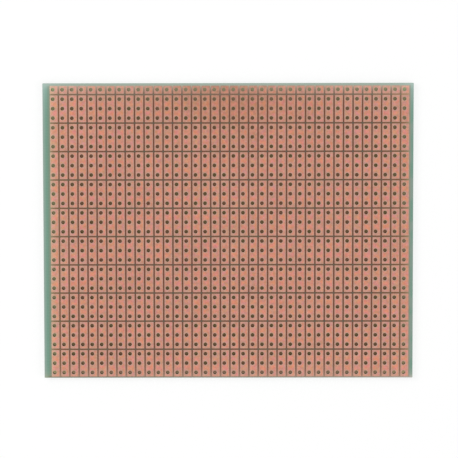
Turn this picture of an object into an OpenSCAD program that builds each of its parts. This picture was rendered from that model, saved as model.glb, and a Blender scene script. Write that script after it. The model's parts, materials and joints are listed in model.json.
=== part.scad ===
// Prototype board: a flat glass-epoxy laminate, drilled on a square grid, with
// etched copper pads bonded to its upper face. The pads of the row along the
// far edge hold one hole each, and every other pad joins a line of holes.
//
// Millimetres. X runs across the columns of holes, Y along them and Z up. The
// origin is the middle of the laminate's underside, and the copper faces up.

/* [Hole grid] */
// Distance between neighbouring hole centres, along X and along Y
hole_pitch = 2.54; // [2:0.01:5.08]
// Diameter of the drilled holes, the same through copper and laminate
hole_d = 1.0; // [0.6:0.05:1.2]
// Number of columns of holes
columns = 38; // [4:1:59]
// Number of holes that a long pad joins
holes_per_pad = 3; // [2:1:5]
// Number of long pads in a column
long_pads = 10; // [2:1:20]

/* [Copper pads] */
// Thickness of the copper foil
foil_t = 0.035; // [0.018:0.001:0.105]
// Width of the gap etched between neighbouring pads
pad_gap = 0.39; // [0.2:0.01:0.8]
// How far the drilling lies off the middle of the pads, along X
drill_shift_x = -0.254; // [-0.3:0.001:0.3]
// How far the drilling lies off the middle of the pads, along Y
drill_shift_y = 0.056; // [-0.3:0.001:0.3]

/* [Laminate] */
// Thickness of the glass-epoxy laminate
laminate_t = 1.6; // [0.8:0.1:3.2]
// Bare laminate beside the first column of pads
margin_left = 1.94; // [0.2:0.01:10]
// Bare laminate beside the last column of pads
margin_right = 1.14; // [0.2:0.01:10]
// Bare laminate beyond the row of single-hole pads
margin_far = 0.64; // [0.2:0.01:10]
// Bare laminate before the first row of long pads
margin_near = 0.33; // [0.2:0.01:10]

/* [Hidden] */
laminate_colour = [0.52, 0.63, 0.57];
copper_colour = [0.82, 0.56, 0.47];

// Segments of a drawn hole
hole_fn = 32;

hole_rows = holes_per_pad * long_pads + 1;

// The copper field: all the pads, with the gaps between them
field_w = columns * hole_pitch - pad_gap;
field_h = hole_rows * hole_pitch - pad_gap;
board_w = margin_left + field_w + margin_right;
board_h = margin_near + field_h + margin_far;
field_left = margin_left - board_w / 2;
field_near = margin_near - board_h / 2;

// A single-hole pad is square, and a long pad is as wide
pad_w = hole_pitch - pad_gap;
long_pad_h = holes_per_pad * hole_pitch - pad_gap;

// Left edge of the pads in column c, counted from 1
function pad_left(c) = field_left + (c - 1) * hole_pitch;

// Near edge of a pad whose nearest hole is in row r, counted from 1
function pad_near(r) = field_near + (r - 1) * hole_pitch;

// Centre of the hole in column c and row r
function hole_centre(c, r) = [
    pad_left(c) + pad_w / 2 + drill_shift_x,
    pad_near(r) + pad_w / 2 + drill_shift_y
];

// pad_column_01, pad_column_02 and so on
function column_name(c) = str("pad_column_", c < 10 ? "0" : "", c);

// The holes of one column, as flat discs
module column_holes(c) {
    for (r = [1:hole_rows])
        translate(hole_centre(c, r))
            circle(d = hole_d, $fn = hole_fn);
}

// The board itself, cut to size and drilled
module laminate() {
    color(laminate_colour)
        linear_extrude(laminate_t)
            difference() {
                square([board_w, board_h], center = true);
                for (c = [1:columns])
                    column_holes(c);
            }
}

// The pads of one column: long ones from the near edge, and a single-hole pad at the far end
module pad_column(c) {
    color(copper_colour)
        translate([0, 0, laminate_t])
            linear_extrude(foil_t)
                difference() {
                    union() {
                        for (p = [0:long_pads - 1])
                            translate([pad_left(c), pad_near(p * holes_per_pad + 1)])
                                square([pad_w, long_pad_h]);
                        translate([pad_left(c), pad_near(hole_rows)])
                            square(pad_w);
                    }
                    column_holes(c);
                }
}

laminate();
for (c = [1:columns])
    pad_column(c);
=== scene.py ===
import json
import math

import bpy
from mathutils import Matrix, Vector


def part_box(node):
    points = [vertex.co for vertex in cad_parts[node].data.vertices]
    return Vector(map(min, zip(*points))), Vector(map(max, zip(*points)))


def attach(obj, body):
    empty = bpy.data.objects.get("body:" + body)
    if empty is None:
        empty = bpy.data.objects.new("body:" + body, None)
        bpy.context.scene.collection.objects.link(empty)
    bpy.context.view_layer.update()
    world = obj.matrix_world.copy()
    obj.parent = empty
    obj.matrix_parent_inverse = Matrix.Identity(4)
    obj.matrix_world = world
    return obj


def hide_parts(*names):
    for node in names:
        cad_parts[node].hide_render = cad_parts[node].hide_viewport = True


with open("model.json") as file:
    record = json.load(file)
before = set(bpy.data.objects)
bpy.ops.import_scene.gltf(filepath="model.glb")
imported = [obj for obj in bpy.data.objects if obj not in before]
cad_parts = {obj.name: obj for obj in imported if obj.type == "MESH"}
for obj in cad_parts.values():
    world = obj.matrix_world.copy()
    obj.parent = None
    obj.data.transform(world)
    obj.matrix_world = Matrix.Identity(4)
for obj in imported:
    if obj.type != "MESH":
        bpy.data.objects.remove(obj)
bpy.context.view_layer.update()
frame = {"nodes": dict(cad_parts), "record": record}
scene = bpy.context.scene
mm = 0.001


# ---------------------------------------------------------------- Laminate
# The core of the board: eight layers of woven glass cloth, pressed with green
# epoxy into one stiff translucent sheet. It is drilled right through on the
# hole grid after etching, and sawn to size, which leaves its edges pale.

sheet_low, sheet_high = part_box("laminate")
sheet_width = sheet_high.x - sheet_low.x
sheet_depth = sheet_high.y - sheet_low.y
sheet_thickness = sheet_high.z - sheet_low.z
arris = 0.12 * mm
plies = 8
yarn_across = 0.58 * mm
yarn_along = 0.82 * mm
strand = 0.035 * mm

# the copper pads lie on the grid that the holes are drilled on
column_nodes = sorted(name for name in frame["nodes"] if name.startswith("pad_column_"))
first_low, first_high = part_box(column_nodes[0])
field_low = first_low
field_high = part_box(column_nodes[-1])[1]
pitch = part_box(column_nodes[1])[0].x - first_low.x
pad_width = first_high.x - first_low.x
pad_gap = pitch - pad_width
columns = len(column_nodes)
rows = round((field_high.y - field_low.y + pad_gap) / pitch)
holes_per_pad = 3

lead_hole = next(m for m in frame["record"]["mounts"] if m["name"] == "lead_hole")
hole_radius = lead_hole["dims"]["r_mm"] * mm
hole_sides = 16
weld = 0.001 * mm


def nearest_hole(known, middle):
    """The hole nearest to this middle, whole pitches away from a known one."""
    return known + pitch * round((middle - known) / pitch)


first_hole_x = nearest_hole(lead_hole["pos_m"][0], field_low.x + pad_width / 2)
first_hole_y = nearest_hole(lead_hole["pos_m"][1], field_low.y + pad_width / 2)


class Wire:
    """The output of a node. Sums and products of wires add Math nodes."""

    def __init__(self, graph, socket):
        self.graph = graph
        self.socket = socket

    def output(self, name):
        return Wire(self.graph, self.socket.node.outputs[name])

    def math(self, operation, *others):
        return self.graph.math(operation, self, *others)

    def __add__(self, other):
        return self.math("ADD", other)

    def __radd__(self, other):
        return self.graph.math("ADD", other, self)

    def __sub__(self, other):
        return self.math("SUBTRACT", other)

    def __rsub__(self, other):
        return self.graph.math("SUBTRACT", other, self)

    def __mul__(self, other):
        return self.math("MULTIPLY", other)

    def __rmul__(self, other):
        return self.graph.math("MULTIPLY", other, self)

    def __truediv__(self, other):
        return self.math("DIVIDE", other)

    def __mod__(self, other):
        return self.math("FLOORED_MODULO", other)

    def __pow__(self, other):
        return self.math("POWER", other)

    def __abs__(self):
        return self.math("ABSOLUTE")

    def __gt__(self, other):
        return self.math("GREATER_THAN", other)

    def least(self, *others):
        lowest = self
        for other in others:
            lowest = lowest.math("MINIMUM", other)
        return lowest

    def most(self, *others):
        highest = self
        for other in others:
            highest = highest.math("MAXIMUM", other)
        return highest

    def fade(self, start, end):
        """0 at start, 1 at end, smooth between them and level past them."""
        return self.graph.add(
            "ShaderNodeMapRange",
            {"interpolation_type": "SMOOTHSTEP"},
            {"Value": self, "From Min": start, "From Max": end},
        )

    def falloff(self, reach):
        """1 at zero, and down to about a third with each further reach."""
        return (self * (-1 / reach)).math("EXPONENT")


class Graph:
    """A node tree that is filled one node at a time."""

    def __init__(self, tree):
        self.tree = tree

    def add(self, kind, settings=None, inputs=None, output=0):
        """A node with its settings made first, and then its sockets set or linked."""
        node = self.tree.nodes.new(kind)
        for name, value in (settings or {}).items():
            setattr(node, name, value)
        for key, given in (inputs or {}).items():
            socket = node.inputs[key]
            for value in given if isinstance(given, list) else [given]:
                if isinstance(value, Wire):
                    self.tree.links.new(value.socket, socket)
                elif socket.type == "RGBA":
                    socket.default_value = (*value, 1.0)
                else:
                    socket.default_value = value
        return Wire(self, node.outputs[output] if node.outputs else None)

    def math(self, operation, *terms):
        return self.add("ShaderNodeMath", {"operation": operation}, dict(enumerate(terms)))

    def vector(self, x=0.0, y=0.0, z=0.0):
        """One vector from three numbers or wires."""
        return self.add("ShaderNodeCombineXYZ", None, {"X": x, "Y": y, "Z": z})


def shape_tree(name, sizes):
    """An empty Geometry Nodes tree with a named input for each size."""
    tree = bpy.data.node_groups.new(name, "GeometryNodeTree")
    tree.is_modifier = True
    tree.interface.new_socket("Mesh", in_out="OUTPUT", socket_type="NodeSocketGeometry")
    for label, kind in sizes.items():
        tree.interface.new_socket(label, in_out="INPUT", socket_type="NodeSocket" + kind)
    return Graph(tree)


def end_tree(graph, geometry, finish):
    """Closes a tree, as each one ends: realized, and in its material."""
    real = graph.add("GeometryNodeRealizeInstances", None, {0: geometry})
    coated = graph.add("GeometryNodeSetMaterial", None, {"Geometry": real, "Material": finish})
    graph.add("NodeGroupOutput", None, {"Mesh": coated}, None)


def grown_piece(name, graph, values, arris_width=0.0):
    """The plain mesh that a tree makes from these values, as an object at the origin."""
    empty_mesh = bpy.data.meshes.new(name + "_host")
    host = bpy.data.objects.new(name + "_host", empty_mesh)
    scene.collection.objects.link(host)
    growing = host.modifiers.new("Growing", "NODES")
    growing.node_group = graph.tree
    for item in graph.tree.interface.items_tree:
        if item.in_out == "INPUT":
            growing[item.identifier] = values[item.name]
    if arris_width:
        softening = host.modifiers.new("Softening", "BEVEL")
        softening.limit_method = "WEIGHT"
        softening.width = arris_width
        softening.segments = 2
    mesh = bpy.data.meshes.new_from_object(
        host.evaluated_get(bpy.context.evaluated_depsgraph_get())
    )
    bpy.data.objects.remove(host)
    bpy.data.meshes.remove(empty_mesh)
    mesh.name = name
    mesh.materials.clear()
    mesh.materials.append(values["Finish"])
    if "material_index" in mesh.attributes:
        mesh.attributes.remove(mesh.attributes["material_index"])
    piece = bpy.data.objects.new(name, mesh)
    scene.collection.objects.link(piece)
    return piece


def in_line(graph, thing, count, start, step):
    """Copies of a thing, the first one at start and each next one a step further."""
    line = graph.add(
        "GeometryNodeMeshLine",
        {"mode": "OFFSET"},
        {"Count": count, "Start Location": start, "Offset": step},
    )
    return graph.add("GeometryNodeInstanceOnPoints", None, {"Points": line, "Instance": thing})


def prism(graph, loops, fill, height, on_outline):
    """A closed prism on flat loops, with flat faces and smooth walls in its holes."""
    base = graph.add("GeometryNodeFillCurve", {"mode": fill}, {"Curve": loops})
    raised = graph.add(
        "GeometryNodeExtrudeMesh",
        {"mode": "FACES"},
        {"Mesh": base, "Offset Scale": height, "Individual": False},
    )
    hole_wall = graph.add(
        "FunctionNodeBooleanMath",
        {"operation": "NIMPLY"},
        {0: raised.output("Side"), 1: on_outline},
    )
    walls = graph.add(
        "GeometryNodeSetShadeSmooth",
        None,
        {"Geometry": raised, "Shade Smooth": False},
    )
    walls = graph.add(
        "GeometryNodeSetShadeSmooth",
        None,
        {"Geometry": walls, "Selection": hole_wall, "Shade Smooth": True},
    )
    under = graph.add("GeometryNodeFlipFaces", None, {"Mesh": base})
    under = graph.add(
        "GeometryNodeSetShadeSmooth",
        None,
        {"Geometry": under, "Shade Smooth": False},
    )
    both = graph.add("GeometryNodeJoinGeometry", None, {0: [walls, under]})
    return graph.add("GeometryNodeMergeByDistance", None, {"Geometry": both, "Distance": weld})


def place(graph):
    """The x, y and z of the spot that is worked on."""
    if graph.tree.type == "GEOMETRY":
        spot = graph.add("GeometryNodeInputPosition")
    else:
        spot = graph.add("ShaderNodeTexCoord", None, None, "Object")
    parts = graph.add("ShaderNodeSeparateXYZ", None, {0: spot})
    return parts, parts.output("Y"), parts.output("Z")


def inside(low, high, x, y):
    """How far a spot lies in from the left, right, near and far side of a box."""
    return x - low.x, high.x - x, y - low.y, high.y - y


drilled = shape_tree(
    "Drilled sheet",
    {
        "Width": "Float",
        "Depth": "Float",
        "Thickness": "Float",
        "First hole": "Vector",
        "Columns": "Int",
        "Rows": "Int",
        "Pitch": "Float",
        "Hole radius": "Float",
        "Hole sides": "Int",
        "Finish": "Material",
    },
)
sizes = drilled.add("NodeGroupInput")
x, y, z = place(drilled)
outline = drilled.add(
    "GeometryNodeCurvePrimitiveQuadrilateral",
    {"mode": "RECTANGLE"},
    {"Width": sizes.output("Width"), "Height": sizes.output("Depth")},
)
hole = drilled.add(
    "GeometryNodeCurvePrimitiveCircle",
    {"mode": "RADIUS"},
    {"Resolution": sizes.output("Hole sides"), "Radius": sizes.output("Hole radius")},
)
step_across = drilled.vector(x=sizes.output("Pitch"))
step_along = drilled.vector(y=sizes.output("Pitch"))
holes = in_line(drilled, hole, sizes.output("Columns"), sizes.output("First hole"), step_across)
holes = in_line(drilled, holes, sizes.output("Rows"), drilled.vector(), step_along)
holes = drilled.add("GeometryNodeRealizeInstances", None, {0: holes})
loops = drilled.add("GeometryNodeJoinGeometry", None, {0: [outline, holes]})
beyond = (abs(x) - sizes.output("Width") / 2).most(abs(y) - sizes.output("Depth") / 2)
on_outline = beyond > -weld
sheet = prism(drilled, loops, "TRIANGLES", sizes.output("Thickness"), on_outline)
sheet = drilled.add(
    "GeometryNodeStoreNamedAttribute",
    {"data_type": "FLOAT", "domain": "EDGE"},
    {"Geometry": sheet, "Name": "bevel_weight_edge", "Value": on_outline},
)
end_tree(drilled, sheet, sizes.output("Finish"))


class Finish(Graph):
    """A material on one Principled shader, with the mixes that its paint needs."""

    def __init__(self, name):
        self.material = bpy.data.materials.new(name)
        self.material.use_nodes = True
        super().__init__(self.material.node_tree)
        self.shader = self.tree.nodes["Principled BSDF"]

    def mix(self, amount, a, b):
        """The colour a, turning into b as the amount goes from 0 to 1."""
        factor, colour_a, colour_b, result = 0, 6, 7, 2
        sockets = {factor: amount, colour_a: a, colour_b: b}
        return self.add("ShaderNodeMix", {"data_type": "RGBA"}, sockets, result)

    def noise(self, size, detail=2.0, stretch=(1.0, 1.0, 1.0), turn=0.0):
        """Noise from 0 to 1, in blotches of about this size, stretched and then turned about z."""
        spot = self.add("ShaderNodeTexCoord", None, None, "Object")
        spot = self.add(
            "ShaderNodeMapping",
            {"vector_type": "TEXTURE"},
            {"Vector": spot, "Scale": stretch, "Rotation": (0.0, 0.0, turn)},
        )
        return self.add(
            "ShaderNodeTexNoise",
            {"noise_dimensions": "3D"},
            {"Vector": spot, "Scale": 1 / size, "Detail": detail},
        )

    def scaled(self, colour, amount):
        """The colour, darker where the amount is under 1 and paler where it is over."""
        return self.add(
            "ShaderNodeVectorMath",
            {"operation": "SCALE"},
            {"Vector": colour, "Scale": amount},
        )

    def bump(self, height, depth):
        """A normal for relief of this height from 0 to 1, and this deep."""
        return self.add("ShaderNodeBump", None, {"Height": height, "Distance": depth})

    def set(self, **values):
        """Sets or links the shader's own sockets, such as Base_Color."""
        for name, value in values.items():
            socket = self.shader.inputs[name.replace("_", " ")]
            if isinstance(value, Wire):
                self.tree.links.new(value.socket, socket)
            else:
                socket.default_value = value


epoxy = Finish("Green glass epoxy")
x, y, z = place(epoxy)
from_left, from_right, from_near, from_far = inside(sheet_low, sheet_high, x, y)
from_side = from_left.least(from_right)
from_edge = from_side.least(from_near, from_far)
into_left, into_right, into_near, into_far = inside(field_low, field_high, x, y)
into_field = into_left.least(into_right, into_near, into_far)
facing = epoxy.add("ShaderNodeNewGeometry", None, None, "Normal")
facing = epoxy.add("ShaderNodeSeparateXYZ", None, {0: facing}, "Z")
upright = abs(facing).fade(0.75, 0.35)
sawn = upright * from_edge.fade(0.3 * mm, 0.2 * mm)
drilled_wall = upright - sawn
underside = facing.fade(-0.35, -0.75)

# the cloth: warp yarns along y, weft yarns along x, each over and under in turn
drift = (epoxy.noise(5 * mm, detail=1.0) - 0.5) * (0.6 * mm)
warp = ((x + drift) * (math.pi / yarn_across)).math("SINE")
weft = ((y + drift) * (math.pi / yarn_along)).math("SINE")
warp_above = (warp * weft).fade(-0.35, 0.35)
yarns = warp_above * abs(warp) + (1 - warp_above) * abs(weft)
warp_strands = epoxy.noise(strand, stretch=(1.0, 20.0, 1.0))
weft_strands = epoxy.noise(strand, stretch=(20.0, 1.0, 1.0))
strands = warp_above * warp_strands + (1 - warp_above) * weft_strands
cloth = yarns * 0.75 + strands * 0.25
cloud = epoxy.noise(2.5 * mm, detail=3.0)
grain = epoxy.noise(0.12 * mm)
fibres = epoxy.noise(0.06 * mm, detail=3.0)
stray = (cloud - 0.5) * (0.5 * mm)

# bare margins: green resin over the cloth, crazed white from the left edge in by the saw
resin_green = (0.106, 0.240, 0.168)
resin_light = (0.134, 0.266, 0.194)
yarn_green = (0.172, 0.330, 0.248)
crazed_grey = (0.228, 0.320, 0.272)
crazed_light = (0.276, 0.366, 0.316)
body = epoxy.mix(cloud, resin_green, resin_light)
body = epoxy.mix(cloth * 0.55, body, yarn_green)
whitened = epoxy.mix(cloud, crazed_grey, crazed_light)
margin = epoxy.mix((from_left + stray).fade(1.1 * mm, 0.0), body, whitened)

# the right margin is patchy, and the far one is pale all along
patch_green = (0.122, 0.256, 0.188)
patch_grey = (0.206, 0.272, 0.230)
patch_yarn = (0.190, 0.310, 0.245)
far_pale = (0.322, 0.392, 0.330)
patches = epoxy.noise(3 * mm, stretch=(1.0, 2.0, 1.0)).fade(0.38, 0.62)
right_band = epoxy.mix(patches, patch_green, patch_grey)
right_band = epoxy.mix(cloth * 0.3, right_band, patch_yarn)
margin = epoxy.mix(from_right.fade(1.4 * mm, 1.0 * mm), margin, right_band)
margin = epoxy.mix(from_far.fade(1.9 * mm, 0.1 * mm) * 0.9, margin, far_pale)

# the strip along the near edge is brown, dark at its left end and pale at its right
near_dark = (0.105, 0.105, 0.055)
near_pale = (0.320, 0.275, 0.215)
near_strip = from_near.fade(0.8 * mm, 0.3 * mm) * from_side.fade(0.6 * mm, 1.8 * mm)
near_colour = epoxy.mix(from_left / sheet_width, near_dark, near_pale)
margin = epoxy.mix(near_strip, margin, near_colour)

# all four corners are paler, where the cuts meet
corner_reach = 4 * mm
far_corner = (from_side + from_far).falloff(corner_reach) * 0.5
near_left = (from_left + from_near * 4).falloff(corner_reach) * 0.5
near_right = (from_right + from_near * 4).falloff(corner_reach) * 0.5
margin = epoxy.mix(far_corner, margin, (0.430, 0.620, 0.580))
margin = epoxy.mix(near_left, margin, (0.450, 0.380, 0.230))
margin = epoxy.mix(near_right, margin, (0.850, 0.640, 0.600))

# and either side of the field of pads has a faint brown etch stain and painted shade beside the
# copper
left_of_field = field_low.x - x
right_of_field = x - field_high.x
left_stain_and_shade = left_of_field.fade(1.0 * mm, 0.3 * mm) * (left_of_field > 0.0)
right_stain_and_shade = right_of_field.fade(0.5 * mm, 0.1 * mm) * (right_of_field > 0.0)
along_field = into_far.fade(-0.3 * mm, 0.3 * mm)
margin = epoxy.mix(left_stain_and_shade * along_field * 0.35, margin, (0.170, 0.160, 0.110))
margin = epoxy.mix(right_stain_and_shade * along_field * 0.5, margin, (0.260, 0.180, 0.120))

# between the pads: painted shade, brown, as the copper takes the light out of the sheet;
# redder in the gaps that run away from the near edge, and painted lighter and greener where two
# gaps cross
gap_shade_red = (0.136, 0.026, 0.006)
gap_shade_olive = (0.094, 0.049, 0.010)
gap_shade_yarn = (0.174, 0.082, 0.034)
gap_red = (0.135, 0.020, 0.002)
crossing_light_green = (0.066, 0.074, 0.049)
across = into_left % pitch
along = into_near % (pitch * holes_per_pad)
pad_length = pitch * holes_per_pad - pad_gap
gap_across = across.fade(pad_width - 0.1 * mm, pad_width + 0.05 * mm)
gap_along = along.fade(pad_length - 0.1 * mm, pad_length + 0.05 * mm)
shade = epoxy.mix(cloud.fade(0.35, 0.65), gap_shade_red, gap_shade_olive)
shade = epoxy.mix(cloth * 0.5, shade, gap_shade_yarn)
shade = epoxy.mix(gap_across * 0.5, shade, gap_red)
shade = epoxy.mix(gap_across * gap_along, shade, crossing_light_green)

# the gaps are paler near the edges of the field, where light comes in through the sheet
glow = into_left.falloff(0.7 * mm).most(into_right.falloff(0.7 * mm)) * 0.6
glow = glow.most(into_near.falloff(0.8 * mm) * 0.3)
side_light = into_left.least(into_right).falloff(2.5 * mm) * 0.23
near_light = into_near.falloff(2.5 * mm) * 0.42
far_right = (into_right + into_far * 2).falloff(7 * mm) * 0.82
shade = epoxy.mix(glow, shade, (0.250, 0.310, 0.220))
shade = epoxy.mix(side_light, shade, (0.520, 0.280, 0.070))
shade = epoxy.mix(near_light, shade, (0.490, 0.280, 0.200))
shade = epoxy.mix(far_right * (1 - gap_across), shade, (0.620, 0.300, 0.140))
shade = epoxy.mix(into_far.falloff(1.2 * mm), shade, (0.450, 0.385, 0.290))
# the painted shade of the gaps reaches a little way out into the margins
top = epoxy.mix(into_field.fade(-0.6 * mm, 0.0) * 0.25, margin, shade)
top = epoxy.mix(into_field > 0.0, top, shade)

# the back: the cloth shows, and painted shade marks where the copper lies on the other side
bare_green = (0.122, 0.248, 0.178)
bare_yarn = (0.186, 0.330, 0.252)
pad_shade_green = (0.136, 0.178, 0.110)
pad_shade_yarn = (0.200, 0.242, 0.160)
beside_pad = across.least(pad_width - across)
beyond_pad = along.least(pad_length - along)
under_pad = beside_pad.least(beyond_pad, into_field)
back_bare = epoxy.mix(cloth, bare_green, bare_yarn)
back_under_pad_shade = epoxy.mix(cloth, pad_shade_green, pad_shade_yarn)
back = epoxy.mix(under_pad.fade(-0.25 * mm, 0.3 * mm), back_bare, back_under_pad_shade)
back = epoxy.mix((from_edge + stray).fade(0.8 * mm, 0.0) * 0.7, back, whitened)

# cut faces: layers of pale yarn ends in green resin, with the marks of the saw
cut_resin = (0.215, 0.325, 0.268)
cut_yarn = (0.470, 0.550, 0.490)
smear = epoxy.noise(1.3 * mm)
layer = z * (plies / sheet_thickness) + (grain - 0.5) * 0.3 + (smear - 0.5) * 0.5
run = x + y + layer.math("FLOOR") * (0.37 * yarn_across) + smear * (1.5 * yarn_across)
yarn_ends = abs((run * (math.pi / yarn_across)).math("SINE")) * smear + 1 - smear
yarn_ends = yarn_ends * abs((layer * math.pi).math("SINE"))
saw_marks = epoxy.noise(0.09 * mm, stretch=(1.0, 1.0, 8.0))
cut = yarn_ends * 0.45 + fibres * 0.3 + saw_marks * 0.25
cut_colour = epoxy.mix(cut.fade(0.15, 0.75), cut_resin, cut_yarn)

# hole walls: browned by the drill and painted darker as shade in the holes, and painted paler
# near the edges of the sheet, where light comes in through it
wall_resin = (0.150, 0.100, 0.056)
wall_yarn = (0.235, 0.180, 0.118)
wall_lit = (0.270, 0.360, 0.270)
wall = epoxy.mix(yarn_ends * 0.6 + fibres * 0.3, wall_resin, wall_yarn)
wall = epoxy.mix(from_edge.fade(5.0 * mm, 1.0 * mm) * 0.8, wall, wall_lit)

colour = epoxy.mix(underside, top, back)
colour = epoxy.mix(from_edge.fade(0.18 * mm, 0.06 * mm) * fibres, colour, whitened)
colour = epoxy.mix(drilled_wall, colour, wall)
colour = epoxy.mix(sawn, colour, cut_colour)
relief = cloth * 0.7 + grain * 0.3
relief = relief * (1 - upright) + (yarn_ends + fibres * 2 + saw_marks * 2) * upright
epoxy.set(
    Base_Color=colour,
    Roughness=0.42 + grain * 0.08 - cloth * 0.05 + upright * 0.28,
    Normal=epoxy.bump(relief, 0.010 * mm),
)

laminate = grown_piece(
    "laminate_sheet",
    drilled,
    {
        "Width": sheet_width,
        "Depth": sheet_depth,
        "Thickness": sheet_thickness,
        "First hole": (first_hole_x, first_hole_y, sheet_low.z),
        "Columns": columns,
        "Rows": rows,
        "Pitch": pitch,
        "Hole radius": hole_radius,
        "Hole sides": hole_sides,
        "Finish": epoxy.material,
    },
    arris,
)
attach(laminate, "root")
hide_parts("laminate")


# ---------------------------------------------------------------- Copper pads
# Thin copper foil pressed onto the laminate's face and etched into separate
# pads of three holes, with one row of single pads along the far edge. The
# etch eats in under its mask, so each pad is a little narrower at the top.

foil_thickness = first_high.z - first_low.z
undercut = 0.012 * mm
pad_corner = 0.09 * mm
corner_points = 2
columns_per_piece = 3

etched = shape_tree(
    "Etched pads",
    {
        "Start": "Vector",
        "Columns": "Int",
        "Rows of pads": "Int",
        "Pitch": "Float",
        "Gap": "Float",
        "Foil thickness": "Float",
        "Corner radius": "Float",
        "Undercut": "Float",
        "Holes in a pad": "Int",
        "First hole": "Vector",
        "Hole radius": "Float",
        "Hole sides": "Int",
        "Finish": "Material",
    },
)
sizes = etched.add("NodeGroupInput")
x, y, z = place(etched)


def columns_of_pads(first_row, pad_rows, holes_in_pad):
    """Rows of pads of this many holes each, from this row of holes on."""
    width = sizes.output("Pitch") - sizes.output("Gap")
    length = sizes.output("Pitch") * holes_in_pad - sizes.output("Gap")
    outline = etched.add(
        "GeometryNodeCurvePrimitiveQuadrilateral",
        {"mode": "RECTANGLE"},
        {"Width": width, "Height": length},
    )
    outline = etched.add(
        "GeometryNodeFilletCurve",
        {"mode": "POLY"},
        {"Curve": outline, "Count": corner_points, "Radius": sizes.output("Corner radius")},
    )
    outline = etched.add(
        "GeometryNodeTransform",
        None,
        {"Geometry": outline, "Translation": etched.vector(width / 2, length / 2)},
    )
    hole = etched.add(
        "GeometryNodeCurvePrimitiveCircle",
        {"mode": "RADIUS"},
        {"Resolution": sizes.output("Hole sides"), "Radius": sizes.output("Hole radius")},
    )
    next_hole = etched.vector(y=sizes.output("Pitch"))
    holes = in_line(etched, hole, holes_in_pad, sizes.output("First hole"), next_hole)
    holes = etched.add("GeometryNodeRealizeInstances", None, {0: holes})
    loops = etched.add("GeometryNodeJoinGeometry", None, {0: [outline, holes]})
    off_middle_x = x - width / 2
    off_middle_y = y - length / 2
    beyond = (abs(off_middle_x) - width / 2).most(abs(off_middle_y) - length / 2)
    on_outline = beyond > sizes.output("Corner radius") * -1
    pad = prism(etched, loops, "NGONS", sizes.output("Foil thickness"), on_outline)
    top_rim = etched.add(
        "FunctionNodeBooleanMath",
        {"operation": "AND"},
        {0: on_outline, 1: z > sizes.output("Foil thickness") / 2},
    )
    drawn_in = etched.vector(
        off_middle_x.math("SIGN") * sizes.output("Undercut") * -1,
        off_middle_y.math("SIGN") * sizes.output("Undercut") * -1,
    )
    pad = etched.add(
        "GeometryNodeSetPosition",
        None,
        {"Geometry": pad, "Selection": top_rim, "Offset": drawn_in},
    )
    first_pad = etched.vector(y=sizes.output("Pitch") * first_row)
    next_pad = etched.vector(y=sizes.output("Pitch") * holes_in_pad)
    next_column = etched.vector(x=sizes.output("Pitch"))
    column = in_line(etched, pad, pad_rows, first_pad, next_pad)
    return in_line(etched, column, sizes.output("Columns"), sizes.output("Start"), next_column)


long_rows = sizes.output("Rows of pads")
holes_in_long = sizes.output("Holes in a pad")
long_pads = columns_of_pads(0, long_rows, holes_in_long)
single_pads = columns_of_pads(long_rows * holes_in_long, 1, 1)
pads = etched.add("GeometryNodeJoinGeometry", None, {0: [long_pads, single_pads]})
end_tree(etched, pads, sizes.output("Finish"))

copper = Finish("Bare copper foil")
x, y, z = place(copper)
from_side = (x - sheet_low.x).least(sheet_high.x - x)
from_far = sheet_high.y - y
into_left, into_right, into_near, into_far = inside(field_low, field_high, x, y)
across = into_left % pitch
along = into_near % (pitch * holes_per_pad)
column = (into_left / pitch).math("FLOOR")
band = (into_near / (pitch * holes_per_pad)).math("FLOOR")
is_single = band > (rows // holes_per_pad - 0.5)
pad_length = pitch * holes_per_pad - pad_gap - is_single * (pitch * (holes_per_pad - 1))
from_pad_side = across.least(pad_width - across, along, pad_length - along)
hole_x = (x - (first_hole_x - pitch / 2)) % pitch - pitch / 2
hole_y = (y - (first_hole_y - pitch / 2)) % pitch - pitch / 2
from_hole = (hole_x * hole_x + hole_y * hole_y) ** 0.5 - hole_radius
from_border = from_pad_side.least(from_hole)

# each pad differs a little from the next
own = copper.add(
    "ShaderNodeTexWhiteNoise",
    {"noise_dimensions": "2D"},
    {"Vector": copper.vector(column, band)},
    "Value",
)
# blotches of several sizes, and the fine marks that rolling and handling leave
light = copper.noise(0.8 * mm, detail=3.0)
flush = copper.noise(1.1 * mm, detail=3.0)
blush = copper.noise(1.3 * mm, detail=3.0)
warmth = copper.noise(0.7 * mm, detail=3.0)
stain = copper.noise(9 * mm, detail=3.0)
grain = copper.noise(0.07 * mm)
brushed = copper.noise(0.06 * mm, 2.0, stretch=(1.0, 50.0, 1.0), turn=math.radians(-4))
brushed = brushed.fade(0.34, 0.70)
scratches = copper.noise(0.07 * mm, 1.0, stretch=(1.0, 40.0, 1.0), turn=math.radians(28))
scratches = scratches.fade(0.66, 0.74)
pits = copper.noise(0.16 * mm, detail=1.0).fade(0.68, 0.78)
flecks = copper.noise(0.42 * mm, detail=1.0).fade(0.74, 0.79)

# bare copper dulls unevenly: coral where it is clean, browner or pinker where it is not
browned = (0.495, 0.272, 0.200)
coral = (0.655, 0.236, 0.166)
pink = (0.612, 0.228, 0.272)
ochre = (0.568, 0.272, 0.122)
orange = (0.620, 0.262, 0.150)
tone = copper.mix(flush.fade(0.39, 0.61), browned, coral)
tone = copper.mix(blush.fade(0.39, 0.61) * 0.5, tone, pink)
tone = copper.mix(warmth.fade(0.39, 0.61) * 0.5, tone, ochre)
tone = copper.mix(own * 0.2, tone, orange)

# on top of that come scratches, pits, pale flecks, and a greyer rim where the etch bit
scratched = (0.760, 0.400, 0.300)
pitted = (0.330, 0.150, 0.100)
flecked = (0.820, 0.560, 0.460)
rim_brown = (0.446, 0.290, 0.230)
tone = copper.mix(scratches * 0.30, tone, scratched)
tone = copper.mix(pits * 0.35, tone, pitted)
tone = copper.mix(flecks * 0.6, tone, flecked)
rim = from_border.fade(0.42 * mm, 0.05 * mm) * (0.7 + light * 0.3)
tone = copper.mix(rim, tone, rim_brown)
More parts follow.
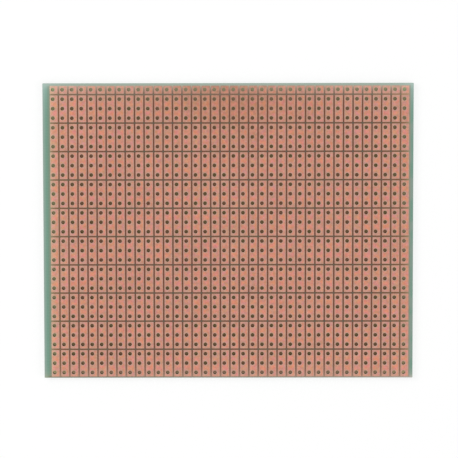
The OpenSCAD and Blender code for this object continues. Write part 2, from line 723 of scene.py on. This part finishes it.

# painted sheen makes the far corners and the far row paler, and the first column is a little
# greener
pale_copper = (0.800, 0.600, 0.500)
greenish = (0.520, 0.600, 0.360)
pale = (from_side + from_far * 3).falloff(6 * mm) * 0.25
pale = pale + from_far.falloff(1.2 * mm) * 0.22
tone = copper.mix(pale, tone, pale_copper)
tone = copper.mix(into_left.falloff(0.8 * mm) * 0.2, tone, greenish)

# a duller, browner patch lies at the middle of the far edge, part tarnish and part painted shade
dull_brown = (0.550, 0.232, 0.122)
dull_middle = 0.04 * pitch
dull_x = (x - dull_middle) / (21 * mm)
dull_y = into_far / (13 * mm)
dulled_and_shaded = (dull_x * dull_x + dull_y * dull_y).falloff(1.0)
tone = copper.mix(dulled_and_shaded * 0.25, tone, dull_brown)

# painted light makes the foil a little brighter towards its other edges, and it is uneven all over
painted_edge_light = into_left.falloff(5 * mm) * 0.10 + into_near.falloff(12 * mm) * 0.06
painted_edge_light = painted_edge_light + into_right.falloff(16 * mm) * 0.03
uneven = (light.fade(0.3, 0.7) - 0.5) * 0.17 + (stain - 0.5) * 0.16 + (brushed - 0.5) * 0.12
brightness = 1.012 - dulled_and_shaded * 0.16 + painted_edge_light + uneven
copper.set(
    Base_Color=copper.scaled(tone, brightness),
    Metallic=1.0,
    Roughness=0.36 + grain * 0.08 + rim * 0.10 + dulled_and_shaded * 0.05 - brushed * 0.06 + pits * 0.1,
    Normal=copper.bump(grain * 0.4 + brushed - scratches * 0.6 - pits * 0.8, 0.0020 * mm),
)

for start in range(0, columns, columns_per_piece):
    names = column_nodes[start : start + columns_per_piece]
    pads = grown_piece(
        f"pads_{start // columns_per_piece + 1:02d}",
        etched,
        {
            "Start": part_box(names[0])[0],
            "Columns": len(names),
            "Rows of pads": rows // holes_per_pad,
            "Pitch": pitch,
            "Gap": pad_gap,
            "Foil thickness": foil_thickness,
            "Corner radius": pad_corner,
            "Undercut": undercut,
            "Holes in a pad": holes_per_pad,
            "First hole": (first_hole_x - field_low.x, first_hole_y - field_low.y, 0.0),
            "Hole radius": hole_radius,
            "Hole sides": hole_sides,
            "Finish": copper.material,
        },
    )
    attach(pads, "root")
    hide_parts(*names)


# ---------------------------------------------------------------- Studio
# A pale table top under a broad white sky, with two large soft lamps low on
# either side. The table shows white round the board, and keeps its shadow.

table_half = 4.0
table_level = -0.05 * mm
shade_inset = 0.4 * mm
sky_level = 0.76
plain_share = 0.72
table_mesh = bpy.data.meshes.new("table_top")
table_mesh.from_pydata(
    [
        (-table_half, -table_half, table_level),
        (table_half, -table_half, table_level),
        (table_half, table_half, table_level),
        (-table_half, table_half, table_level),
    ],
    [],
    [(0, 1, 2, 3)],
)
table = bpy.data.objects.new("table_top", table_mesh)
scene.collection.objects.link(table)


def seen(graph):
    """1 for what the camera sees, straight or by way of metal or glass, and 0 for light."""
    rays = graph.add("ShaderNodeLightPath")
    mirrored = rays.output("Is Glossy Ray")
    through = rays.output("Is Transmission Ray")
    return rays.output("Is Camera Ray").most(mirrored, through)


paper = Finish("White paper")
x, y, z = place(paper)
from_left, from_right, from_near, from_far = inside(sheet_low, sheet_high, x, y)
from_side = from_left.least(from_right)
covered = from_side.least(from_near, from_far) > shade_inset

# what the holes show of the table is painted shade: dark, a little different in each, and
# painted paler where more light comes in under the board
hole = paper.vector(
    ((x - first_hole_x) / pitch + 0.5).math("FLOOR"),
    ((y - first_hole_y) / pitch + 0.5).math("FLOOR"),
)
own = paper.add(
    "ShaderNodeTexWhiteNoise",
    {"noise_dimensions": "2D"},
    {"Vector": hole},
    "Value",
)
side_light = from_left.least(from_right + 0.4 * mm, from_far * 0.85).falloff(2.1 * mm)
front_light = (from_near * 1.8).falloff(2.2 * mm)
corner_light = (from_side + from_far).falloff(2.1 * mm) * 2
near_light = (from_left.least(from_right - 1.2 * mm) + from_near * 2).falloff(5 * mm) * 1.3
left_light = from_left.falloff(2.1 * mm) * 0.3
shaded = paper.mix(own, (0.162, 0.067, 0.030), (0.116, 0.080, 0.021))
shaded = paper.mix(side_light, shaded, (0.417, 0.412, 0.235))
shaded = paper.mix(front_light, shaded, (0.420, 0.266, 0.172))
shaded = paper.mix(corner_light, shaded, (0.450, 0.700, 0.350))
shaded = paper.mix(near_light, shaded, (0.480, 0.380, 0.170))
shaded = paper.mix(left_light, shaded, (0.220, 0.460, 0.120))
paper.set(Base_Color=(0.97, 0.97, 0.97, 1.0), Roughness=0.9)

# to the camera the table is mostly plain white, painted dark as shade where the board covers it,
# and the rest is lit paper with a shadow
white = (1.0, 1.0, 1.0)
plain = paper.add("ShaderNodeEmission", None, {"Color": paper.mix(covered, white, shaded)})
lit = Wire(paper, paper.shader.outputs[0])
shown = paper.add("ShaderNodeMixShader", None, {0: seen(paper) * plain_share, 1: lit, 2: plain})
paper.tree.links.new(shown.socket, paper.tree.nodes["Material Output"].inputs["Surface"])
table_mesh.materials.append(paper.material)

world = bpy.data.worlds.new("Studio sky")
world.use_nodes = True
scene.world = world
sky = Graph(world.node_tree)
background = world.node_tree.nodes["Background"]
background.inputs["Color"].default_value = (1.0, 1.0, 1.0, 1.0)
# the sky looks white, and lights the board a little less than that
strength = seen(sky) * (1 - sky_level) + sky_level
world.node_tree.links.new(strength.socket, background.inputs["Strength"])


def soft_lamp(name, turn, side, height, width, power):
    """A square lamp off to one side, turned about the board and aimed at it."""
    lamp = bpy.data.lights.new(name, "AREA")
    lamp.shape = "SQUARE"
    lamp.size = width
    lamp.energy = power
    stand = bpy.data.objects.new(name, lamp)
    spot = Vector((math.sin(turn) * side, math.cos(turn) * side, height))
    stand.location = spot
    stand.rotation_euler = spot.to_track_quat("Z", "Y").to_euler()
    scene.collection.objects.link(stand)


soft_lamp("lamp_left", math.radians(-60), side=0.75, height=0.70, width=0.5, power=3.2)
soft_lamp("lamp_right", math.radians(115), side=0.80, height=0.60, width=0.6, power=1.6)

# a long lens looks down from almost straight above
camera_spot = Vector((4.133, 59.698, 686.820)) * mm
camera_aim = Vector((0.213, 0.587, 1.635)) * mm
camera_roll = math.radians(-0.098)
lens = bpy.data.cameras.new("camera")
lens.sensor_width = 36.0
lens.lens = 201.47
camera = bpy.data.objects.new("camera", lens)
ahead = (camera_aim - camera_spot).normalized()
level = ahead.cross(Vector((0.0, 1.0, 0.0))).normalized()
upward = level.cross(ahead)
turned = Matrix((level, upward, -ahead)).transposed().to_4x4()
camera.matrix_world = (
    Matrix.Translation(camera_spot) @ turned @ Matrix.Rotation(camera_roll, 4, "Z")
)
scene.collection.objects.link(camera)
scene.camera = camera
scene.view_settings.view_transform = "Standard"
